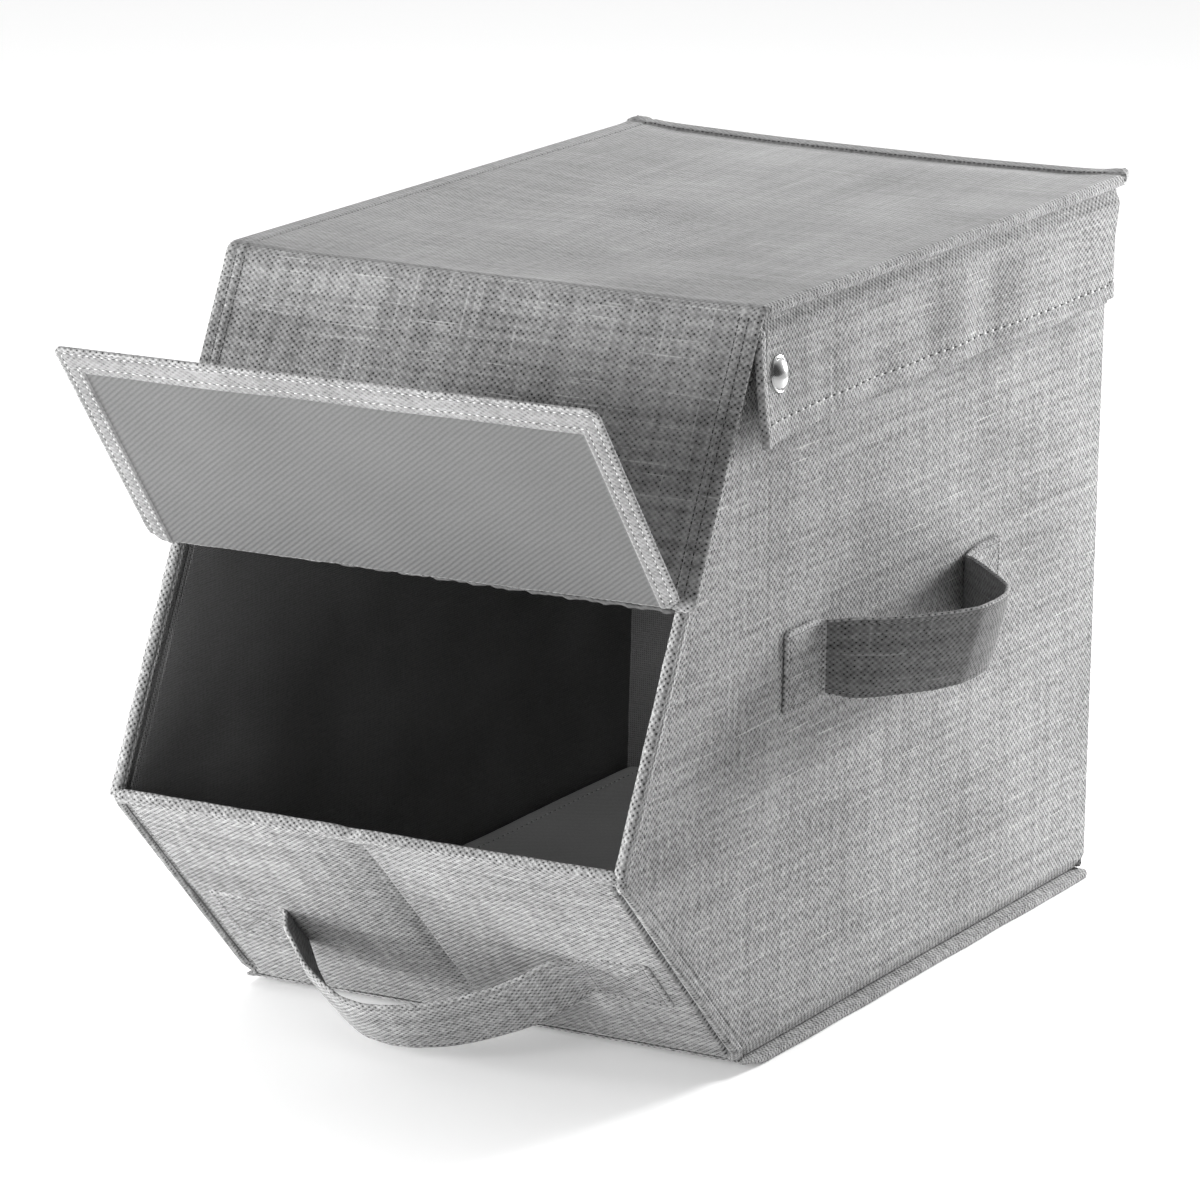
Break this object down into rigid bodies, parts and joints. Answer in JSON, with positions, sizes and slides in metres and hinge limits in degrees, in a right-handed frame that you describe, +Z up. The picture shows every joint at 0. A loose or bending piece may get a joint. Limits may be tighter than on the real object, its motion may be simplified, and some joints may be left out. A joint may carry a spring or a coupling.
{
  "type": "fabric storage bin",
  "caption": "Foldable fabric-covered storage bin with sloping front mouth, lift-off lid with fold-up flap, snap-fastened skirts and strap handles.",
  "frame": {"origin": "centre of the underside of the sewn base, on the floor", "axes": "+X to the bin's right as seen from the front, +Y to the back, +Z up; the mouth and flap face -Y"},
  "size_m": [0.34, 0.5046, 0.3278],
  "materials": {
    "outer_fabric": "matte",
    "webbing": "matte",
    "black_lining": "matte",
    "dark_lining": "matte",
    "grey_twill": "matte",
    "stiffener": "matte",
    "stud_chrome": "polished"
  },
  "bodies": {
    "tub": {"right_side_cover": "outer_fabric", "right_side_board": "stiffener", "right_side_lining": "black_lining", "left_side_cover": "outer_fabric", "left_side_board": "stiffener", "left_side_lining": "black_lining", "front_cover": "outer_fabric", "front_board_right": "stiffener", "front_board_left": "stiffener", "front_lining": "black_lining", "back_cover": "outer_fabric", "back_board_right": "stiffener", "back_board_left": "stiffener", "back_lining": "dark_lining", "base_cover": "outer_fabric", "base_board": "stiffener", "base_seam_welt": "outer_fabric", "base_lining": "black_lining", "right_rim_binding": "outer_fabric", "left_rim_binding": "outer_fabric", "lip_binding": "outer_fabric", "back_rim_binding": "outer_fabric", "snap_studs": "stud_chrome", "snap_eyelets": "stud_chrome", "right_handle_tabs": "webbing", "left_handle_tabs": "webbing", "front_handle_tabs": "webbing"},
    "floor_insert": {"insert_board": "stiffener", "insert_top_cloth": "grey_twill", "insert_under_cloth": "grey_twill"},
    "lid": {"lid_top_cover": "outer_fabric", "lid_top_board": "stiffener", "lid_top_lining": "black_lining", "lid_edge_welt": "outer_fabric", "lid_front_cover": "outer_fabric", "lid_front_board": "stiffener", "lid_front_lining": "black_lining", "lid_front_hems": "outer_fabric", "flap_fold": "outer_fabric", "back_skirt": "outer_fabric"},
    "flap": {"flap_cover": "outer_fabric", "flap_board": "stiffener", "flap_lining": "grey_twill", "flap_border": "outer_fabric"},
    "right_skirt": {"right_skirt_outer": "outer_fabric", "right_skirt_facing": "outer_fabric", "right_snap_cap": "stud_chrome", "right_snap_socket": "stud_chrome"},
    "left_skirt": {"left_skirt_outer": "outer_fabric", "left_skirt_facing": "outer_fabric", "left_snap_cap": "stud_chrome", "left_snap_socket": "stud_chrome"},
    "front_handle": {"front_handle_strap": "webbing"},
    "right_handle": {"right_handle_strap": "webbing"},
    "left_handle": {"left_handle_strap": "webbing"}
  },
  "joints": [
    {"name": "lid_lift", "type": "slide", "parent": "tub", "child": "lid", "axis": [0, 0, 1], "range_m": [0, 0.25]},
    {"name": "flap_hinge", "type": "hinge", "parent": "lid", "child": "flap", "pos_m": [0, -0.24085, 0.2124], "axis": [1, 0, 0], "range_deg": [-62, 114.5]},
    {"name": "right_skirt_swing", "type": "hinge", "parent": "lid", "child": "right_skirt", "pos_m": [0.1249, 0, 0.3224], "axis": [0, -1, 0], "range_deg": [0, 50]},
    {"name": "left_skirt_swing", "type": "hinge", "parent": "lid", "child": "left_skirt", "pos_m": [-0.1249, 0, 0.3224], "axis": [0, 1, 0], "range_deg": [0, 50]},
    {"name": "front_handle_swing", "type": "hinge", "parent": "tub", "child": "front_handle", "pos_m": [0, -0.21834, 0.04822], "axis": [-1, 0, 0], "range_deg": [-40, 40]},
    {"name": "right_handle_swing", "type": "hinge", "parent": "tub", "child": "right_handle", "pos_m": [0.12, -0.041, 0.166], "axis": [0, -1, 0], "range_deg": [-40, 40]},
    {"name": "left_handle_swing", "type": "hinge", "parent": "tub", "child": "left_handle", "pos_m": [-0.12, -0.041, 0.166], "axis": [0, 1, 0], "range_deg": [-40, 40]},
    {"name": "insert_lift", "type": "slide", "parent": "tub", "child": "floor_insert", "axis": [0, 0, 1], "range_m": [0, 0.25]}
  ]
}
